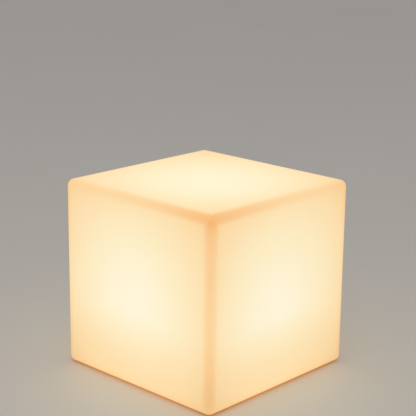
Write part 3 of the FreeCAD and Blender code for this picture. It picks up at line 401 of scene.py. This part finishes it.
def phosphor(name, node, dot, frame_colour, strength):
    """LED packages: the raised dot in each one is phosphor or clear resin, and the rest its frame."""
    t = Tree(name)
    low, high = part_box(node)
    z = t.axes()[2]
    height = high.z - low.z
    lit = t.range(z, low.z + height * DOT_START, low.z + height * DOT_FULL)
    fleck = t.noise(2200.0, 2.0)
    t.set(Base_Color=t.mix(lit, frame_colour, t.mix(fleck, dot, shade(dot, 1.1))),
          Roughness=0.35, Emission_Color=t.mix(lit, (0.0, 0.0, 0.0), dot),
          Emission_Strength=strength)
    t.material.cycles.emission_sampling = "NONE"
    return t.material


WRAP_END = (0.0004, 0.0001)        # from a cell's ends, where the wrap gives way to the can,
WRAP_RADIUS = (0.0078, 0.0074)     # and the radius that it is gathered to there


def cell_wrap():
    """Shrink wrap round the cell, gathered at its ends, which show the steel can."""
    t = Tree("cell_wrap")
    low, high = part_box("battery_cell")
    x, y, z = t.axes()
    end = t.math("ABSOLUTE", t.math("SUBTRACT", x, (low.x + high.x) / 2))
    radius = t.math("SQRT", t.sum(t.math("POWER", t.math("SUBTRACT", y, (low.y + high.y) / 2), 2.0),
                                  t.math("POWER", t.math("SUBTRACT", z, (low.z + high.z) / 2), 2.0)))
    half = (high.x - low.x) / 2
    bare = t.product(t.range(end, half - WRAP_END[0], half - WRAP_END[1]),
                     t.range(radius, *WRAP_RADIUS))
    wrap = t.mix(t.noise(180.0, 3.0, (0.2, 1, 1)), linear(30, 84, 150), linear(44, 106, 176))
    t.set(Base_Color=t.mix(bare, wrap, (0.55, 0.55, 0.55)), Metallic=bare,
          Roughness=t.range(bare, 0.0, 1.0, 0.24, 0.36, "LINEAR"), IOR=1.53)
    t.bump(t.noise(320.0, 2.0, (0.15, 1, 1)), 0.00004, 0.7)
    return t.material


DOME_DIM, DOME_BRIGHT = 0.036, 0.008      # radii between which the dome brightens inwards


def opal_dome():
    """Frosted dome over the LEDs, brightest over the ring of white ones."""
    t = Tree("dome_opal")
    x, y, z = t.axes()
    out = t.math("SQRT", t.sum(t.math("POWER", x, 2.0), t.math("POWER", y, 2.0)))
    lit = t.range(out, DOME_DIM, DOME_BRIGHT, 0.25, 0.8)
    t.set(Base_Color=t.mix(t.noise(90.0), (0.82, 0.8, 0.74), (0.88, 0.87, 0.82)), Roughness=0.55,
          IOR=1.58, Emission_Color=t.mix(lit, (0.3, 0.16, 0.05), (1.0, 0.8, 0.5)),
          Emission_Strength=0.6)
    t.bump(t.noise(1500.0, 2.0), 0.00002, 0.8)
    t.material.cycles.emission_sampling = "NONE"
    return t.material


def clear_acrylic():
    t = Tree("clear_acrylic")
    t.set(Base_Color=t.mix(t.noise(200.0), (0.88, 0.92, 0.94), (0.94, 0.96, 0.97)),
          Roughness=t.range(t.noise(600.0), 0.3, 0.7, 0.04, 0.1, "LINEAR"), IOR=1.49,
          Transmission_Weight=0.9)
    return t.material


MATERIALS = {
    "shell_polyethylene": shell_material,
    "brass": lambda: metal("brass", (0.72, 0.5, 0.2), 0.28),
    "silicone_grey": lambda: silicone("silicone_grey", (0.12, 0.12, 0.115)),
    "silicone_clear": lambda: silicone("silicone_clear", (0.62, 0.62, 0.57), 0.25),
    "cover_plastic": lambda: plastic("cover_plastic", (0.7, 0.68, 0.63), 0.5, 1300.0, 0.00004),
    "key_plastic": lambda: plastic("key_plastic", (0.075, 0.075, 0.078), 0.38, 1600.0, 0.00002),
    "symbol_white": lambda: plastic("symbol_white", (0.8, 0.8, 0.78), 0.4),
    "screw_steel": lambda: metal("screw_steel", (0.56, 0.56, 0.55), 0.26, (1, 1, 4)),
    "retainer_nylon": lambda: plastic("retainer_nylon", (0.03, 0.03, 0.032), 0.48),
    "black_plastic": lambda: plastic("black_plastic", (0.02, 0.02, 0.021), 0.42),
    "plunger_red": lambda: plastic("plunger_red", (0.4, 0.03, 0.02), 0.4),
    "spring_steel": lambda: metal("spring_steel", (0.6, 0.6, 0.6), 0.2),
    "tinned_metal": lambda: metal("tinned_metal", (0.7, 0.7, 0.68), 0.34),
    "board_green": lambda: circuit_board("board_green", (0.006, 0.06, 0.02), (0.6, 0.42, 0.18), 1.7),
    "led_board_white": lambda: circuit_board("led_board_white", (0.8, 0.8, 0.78),
                                             (0.72, 0.72, 0.7), 1.04),
    "ferrite": lambda: plastic("ferrite", (0.035, 0.035, 0.038), 0.6, 2000.0, 0.00005),
    "capacitor_can": lambda: metal("capacitor_can", (0.7, 0.7, 0.71), 0.3, (1, 1, 6)),
    "passive_ceramic": lambda: plastic("passive_ceramic", (0.36, 0.25, 0.15), 0.5),
    "connector_white": lambda: plastic("connector_white", (0.78, 0.75, 0.66), 0.42),
    "led_package": lambda: phosphor("led_package", "warm_white_leds", (1.0, 0.66, 0.12),
                                    (0.85, 0.84, 0.8), 1.4),
    "colour_led_package": lambda: phosphor("colour_led_package", "colour_leds",
                                           (0.7, 0.74, 0.76), (0.85, 0.85, 0.84), 0.0),
    "clear_acrylic": clear_acrylic,
    "cell_wrap": cell_wrap,
    "wire_red": lambda: plastic("wire_red", (0.5, 0.012, 0.01), 0.32),
    "wire_black": lambda: plastic("wire_black", (0.015, 0.015, 0.015), 0.32),
    "wire_white": lambda: plastic("wire_white", (0.78, 0.78, 0.76), 0.34),
    "module_white": lambda: plastic("module_white", (0.82, 0.82, 0.8), 0.45),
    "spreader_aluminium": lambda: metal("spreader_aluminium", (0.7, 0.7, 0.71), 0.32, (1, 14, 1)),
    "dome_opal": opal_dome,
}


def paint():
    """Gives each CAD node its slot's material."""
    made = {}
    for part in frame["record"]["subparts"]:
        slot, thing = part["material_slot"], nodes[part["node"]]
        if slot not in made:
            made[slot] = MATERIALS[slot]()
        thing.data.materials.clear()
        thing.data.materials.append(made[slot])


def return_spring():
    """The spring behind the switch's plunger, a piece of its own that stands for the rigid solid. The
    real one flattens between the plunger's back and the switch's roof; this copy keeps its shape."""
    coil = bpy.data.objects.new("return_spring", nodes["switch_spring"].data.copy())
    scene.collection.objects.link(coil)
    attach(coil, "base")
    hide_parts("switch_spring")
    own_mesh(coil)


# ---- stage ---------------------------------------------------------------------------------------

FLOOR_SIZE = 8.0
SKY_COLOUR, SKY_STRENGTH = (1.0, 0.97, 0.94), 0.4
SOFTBOX_PLACE, SOFTBOX_SIZE = (0.6, -0.9, 1.9), 1.6
SOFTBOX_COLOUR, SOFTBOX_WATTS = (1.0, 0.97, 0.93), 8.0


def floor():
    """A plain pale floor at the level the feet stand on."""
    mesh = bpy.data.meshes.new("floor")
    reach = FLOOR_SIZE / 2
    mesh.from_pydata([(-reach, -reach, 0), (reach, -reach, 0), (reach, reach, 0), (-reach, reach, 0)],
                     [], [(0, 1, 2, 3)])
    thing = bpy.data.objects.new("floor", mesh)
    scene.collection.objects.link(thing)
    t = Tree("floor_pale")
    t.set(Base_Color=t.mix(t.noise(3.0, 3.0), (0.74, 0.72, 0.69), (0.78, 0.76, 0.73)),
          Roughness=0.55, Specular_IOR_Level=0.3)
    mesh.materials.append(t.material)


def lights():
    """A dim, even studio: a soft sky and one broad light above, so that the cube's own glow shows."""
    world = bpy.data.worlds.new("studio")
    world.use_nodes = True
    sky = world.node_tree.nodes["Background"]
    sky.inputs["Color"].default_value = (*SKY_COLOUR, 1)
    sky.inputs["Strength"].default_value = SKY_STRENGTH
    scene.world = world
    lamp = bpy.data.lights.new("softbox", "AREA")
    lamp.shape = "DISK"
    lamp.size = SOFTBOX_SIZE
    lamp.energy = SOFTBOX_WATTS
    lamp.color = SOFTBOX_COLOUR
    thing = bpy.data.objects.new("softbox", lamp)
    thing.location = SOFTBOX_PLACE
    aim = (shell_middle - Vector(thing.location)).to_track_quat("-Z", "Y")
    thing.rotation_euler = aim.to_euler()
    scene.collection.objects.link(thing)


VIEW_AZIMUTH, VIEW_ELEVATION, VIEW_ROLL = 43.29, 15.34, 0.66     # degrees
VIEW_AIM = Vector((-0.0111, 0.0131, 0.1595))                     # a point on the view's axis
VIEW_DISTANCE = 1.2257
LENS = 104.45


def camera():
    data = bpy.data.cameras.new("camera")
    data.lens = LENS
    data.sensor_width = 36.0
    data.clip_start = 0.05
    thing = bpy.data.objects.new("camera", data)
    turn = (Matrix.Rotation(math.radians(VIEW_AZIMUTH), 4, "Z")
            @ Matrix.Rotation(math.radians(90 - VIEW_ELEVATION), 4, "X")
            @ Matrix.Rotation(math.radians(VIEW_ROLL), 4, "Z"))
    thing.matrix_world = Matrix.Translation(VIEW_AIM) @ turn @ Matrix.Translation(
        (0, 0, VIEW_DISTANCE))
    scene.collection.objects.link(thing)
    scene.camera = thing


paint()
return_spring()
floor()
lights()
camera()
scene.view_settings.view_transform = "Standard"
scene.view_settings.look = "None"
